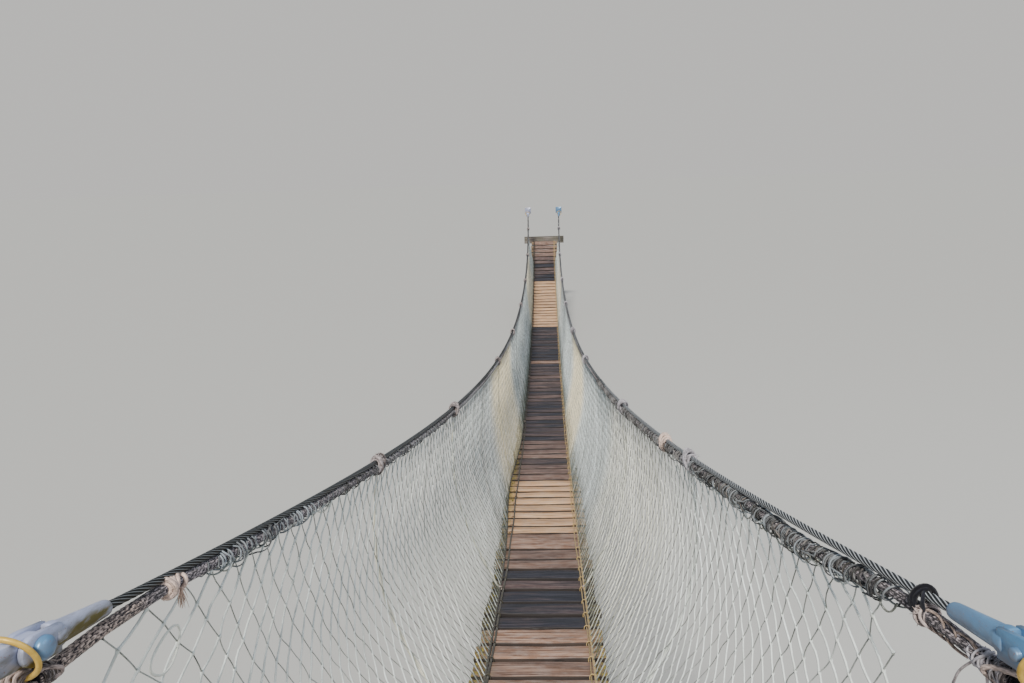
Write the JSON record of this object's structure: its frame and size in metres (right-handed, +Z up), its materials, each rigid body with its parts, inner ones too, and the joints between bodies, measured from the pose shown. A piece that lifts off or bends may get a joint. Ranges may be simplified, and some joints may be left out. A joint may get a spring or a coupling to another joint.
{
  "type": "rope suspension footbridge",
  "caption": "Narrow plank footbridge sagging on steel cables, walled on both sides by rope nets hung from steel hand cables that end in sockets, pins and eyes.",
  "frame": {"origin": "middle of the near sill's flat back face", "axes": "+Y along the bridge from the near end to the far end, +Z up, +X to the walker's right"},
  "size_m": [1.5605, 17.4, 2.3325],
  "materials": {
    "planks": "weathered brown boards with moss at the ends",
    "sills": "weathered grey-brown timber",
    "wire_rope": "galvanised wire rope, dulled",
    "cable_fittings": "galvanised forging, stained",
    "rope_rings": "yellow coated steel, worn",
    "head_rope": "dark plaited rope with pale flecks",
    "net": "pale knotted twine",
    "hanger_rope": "grey laid rope"
  },
  "bodies": {
    "root": {"deck_bay_1": "planks", "deck_bay_2": "planks", "deck_bay_3": "planks", "deck_bay_4": "planks", "deck_bay_5": "planks", "deck_bay_6": "planks", "deck_bay_7": "planks", "near_sill": "sills", "foot_cable_stop_near_left": "cable_fittings", "hand_cable_socket_near_left": "cable_fittings", "socket_pin_near_left": "cable_fittings", "anchor_eye_near_left": "cable_fittings", "head_rope_ring_near_left": "rope_rings", "foot_cable_stop_near_right": "cable_fittings", "hand_cable_socket_near_right": "cable_fittings", "socket_pin_near_right": "cable_fittings", "anchor_eye_near_right": "cable_fittings", "head_rope_ring_near_right": "rope_rings", "far_sill": "sills", "foot_cable_stop_far_left": "cable_fittings", "hand_cable_socket_far_left": "cable_fittings", "socket_pin_far_left": "cable_fittings", "anchor_eye_far_left": "cable_fittings", "head_rope_ring_far_left": "rope_rings", "foot_cable_stop_far_right": "cable_fittings", "hand_cable_socket_far_right": "cable_fittings", "socket_pin_far_right": "cable_fittings", "anchor_eye_far_right": "cable_fittings", "head_rope_ring_far_right": "rope_rings", "foot_cable_left": "wire_rope", "hand_cable_left": "wire_rope", "head_rope_left": "head_rope", "hangers_and_foot_rope_left": "hanger_rope", "net_panel_left_1": "net", "net_panel_left_2": "net", "net_panel_left_3": "net", "net_panel_left_4": "net", "net_panel_left_5": "net", "foot_cable_right": "wire_rope", "hand_cable_right": "wire_rope", "head_rope_right": "head_rope", "hangers_and_foot_rope_right": "hanger_rope", "net_panel_right_1": "net", "net_panel_right_2": "net", "net_panel_right_3": "net", "net_panel_right_4": "net", "net_panel_right_5": "net"}
  },
  "joints": []
}
